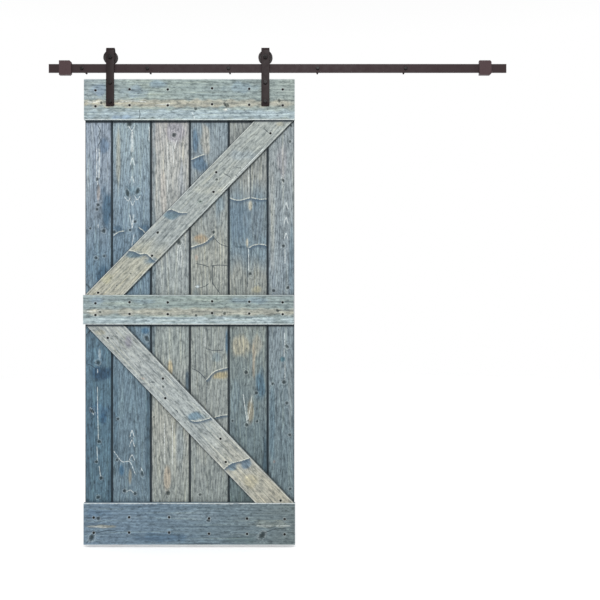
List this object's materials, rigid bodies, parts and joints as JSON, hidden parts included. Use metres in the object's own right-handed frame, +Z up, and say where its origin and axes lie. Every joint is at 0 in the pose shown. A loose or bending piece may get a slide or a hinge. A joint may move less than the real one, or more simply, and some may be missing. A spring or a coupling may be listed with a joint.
{
  "type": "sliding barn door",
  "caption": "Sliding plank door with rails and diagonal braces, hung by strap rollers from a flat wall track with end stops.",
  "frame": {"origin": "the third wall bolt's axis where it meets the wall's face, at the middle of the track bar's height", "axes": "+X along the track to the right as seen from the room, +Y into the wall, +Z up"},
  "size_m": [2.1, 0.118, 2.2795],
  "materials": {
    "bronze_steel": "oil-rubbed bronze powder coat, satin",
    "dark_bronze_fixings": "oil-rubbed bronze powder coat, satin, darker",
    "dark_bronze_wheel": "turned steel, oil-rubbed bronze",
    "black_screws": "black phosphate, matte",
    "zinc_fixings": "bright zinc plate",
    "bearing_steel": "ground bearing steel",
    "brass_cage": "turned brass",
    "blue_stained_pine": "blue-grey stained pine, matte",
    "pale_stained_pine": "pale blue-grey stained pine, matte"
  },
  "bodies": {
    "track": {"track_bar": "bronze_steel", "standoff_1": "dark_bronze_fixings", "standoff_2": "dark_bronze_fixings", "standoff_3": "dark_bronze_fixings", "standoff_4": "dark_bronze_fixings", "standoff_5": "dark_bronze_fixings", "lag_bolt_1": "dark_bronze_fixings", "lag_bolt_2": "dark_bronze_fixings", "lag_bolt_3": "dark_bronze_fixings", "lag_bolt_4": "dark_bronze_fixings", "lag_bolt_5": "dark_bronze_fixings", "stop_left": "bronze_steel", "stop_right": "bronze_steel", "stop_screws_left": "black_screws", "stop_screws_right": "black_screws"},
    "door": {"plank_1": "blue_stained_pine", "plank_2": "blue_stained_pine", "plank_3": "blue_stained_pine", "plank_4": "blue_stained_pine", "plank_5": "blue_stained_pine", "plank_6": "blue_stained_pine", "top_rail": "pale_stained_pine", "middle_rail": "pale_stained_pine", "bottom_rail": "pale_stained_pine", "upper_brace": "pale_stained_pine", "lower_brace": "pale_stained_pine", "top_rail_screws": "black_screws", "middle_rail_screws": "black_screws", "bottom_rail_screws": "black_screws", "upper_brace_screws": "black_screws", "lower_brace_screws": "black_screws", "left_strap": "bronze_steel", "left_axle_bolt": "dark_bronze_fixings", "left_axle_nut": "dark_bronze_fixings", "left_axle_spacers": "bearing_steel", "left_bearing_inner_ring": "bearing_steel", "left_strap_bolt_upper": "dark_bronze_fixings", "left_strap_bolt_lower": "dark_bronze_fixings", "left_strap_washers": "zinc_fixings", "left_strap_nuts": "zinc_fixings", "right_strap": "bronze_steel", "right_axle_bolt": "dark_bronze_fixings", "right_axle_nut": "dark_bronze_fixings", "right_axle_spacers": "bearing_steel", "right_bearing_inner_ring": "bearing_steel", "right_strap_bolt_upper": "dark_bronze_fixings", "right_strap_bolt_lower": "dark_bronze_fixings", "right_strap_washers": "zinc_fixings", "right_strap_nuts": "zinc_fixings"},
    "left_wheel": {"left_wheel": "dark_bronze_wheel", "left_bearing_outer_ring": "bearing_steel", "left_bearing_shields": "bearing_steel"},
    "left_cage": {"left_bearing_balls": "bearing_steel", "left_ball_cage": "brass_cage"},
    "right_wheel": {"right_wheel": "dark_bronze_wheel", "right_bearing_outer_ring": "bearing_steel", "right_bearing_shields": "bearing_steel"},
    "right_cage": {"right_bearing_balls": "bearing_steel", "right_ball_cage": "brass_cage"}
  },
  "joints": [
    {"name": "door_slide", "type": "slide", "parent": "track", "child": "door", "axis": [1, 0, 0], "range_m": [-0.154, 0.95]},
    {"name": "left_wheel_spin", "type": "hinge", "parent": "door", "child": "left_wheel", "pos_m": [-0.541, -0.035, 0.0493], "axis": [0, 1, 0], "continuous": true},
    {"name": "left_cage_spin", "type": "hinge", "parent": "door", "child": "left_cage", "pos_m": [-0.541, -0.035, 0.0493], "axis": [0, 1, 0], "continuous": true},
    {"name": "right_wheel_spin", "type": "hinge", "parent": "door", "child": "right_wheel", "pos_m": [0.1695, -0.035, 0.0493], "axis": [0, 1, 0], "continuous": true},
    {"name": "right_cage_spin", "type": "hinge", "parent": "door", "child": "right_cage", "pos_m": [0.1695, -0.035, 0.0493], "axis": [0, 1, 0], "continuous": true}
  ],
  "couplings": [
    {"joint": "left_wheel_spin", "follows": "door_slide", "rad_per_m": 34.483},
    {"joint": "left_cage_spin", "follows": "door_slide", "rad_per_m": 21.904},
    {"joint": "right_wheel_spin", "follows": "door_slide", "rad_per_m": 34.483},
    {"joint": "right_cage_spin", "follows": "door_slide", "rad_per_m": 21.904}
  ]
}
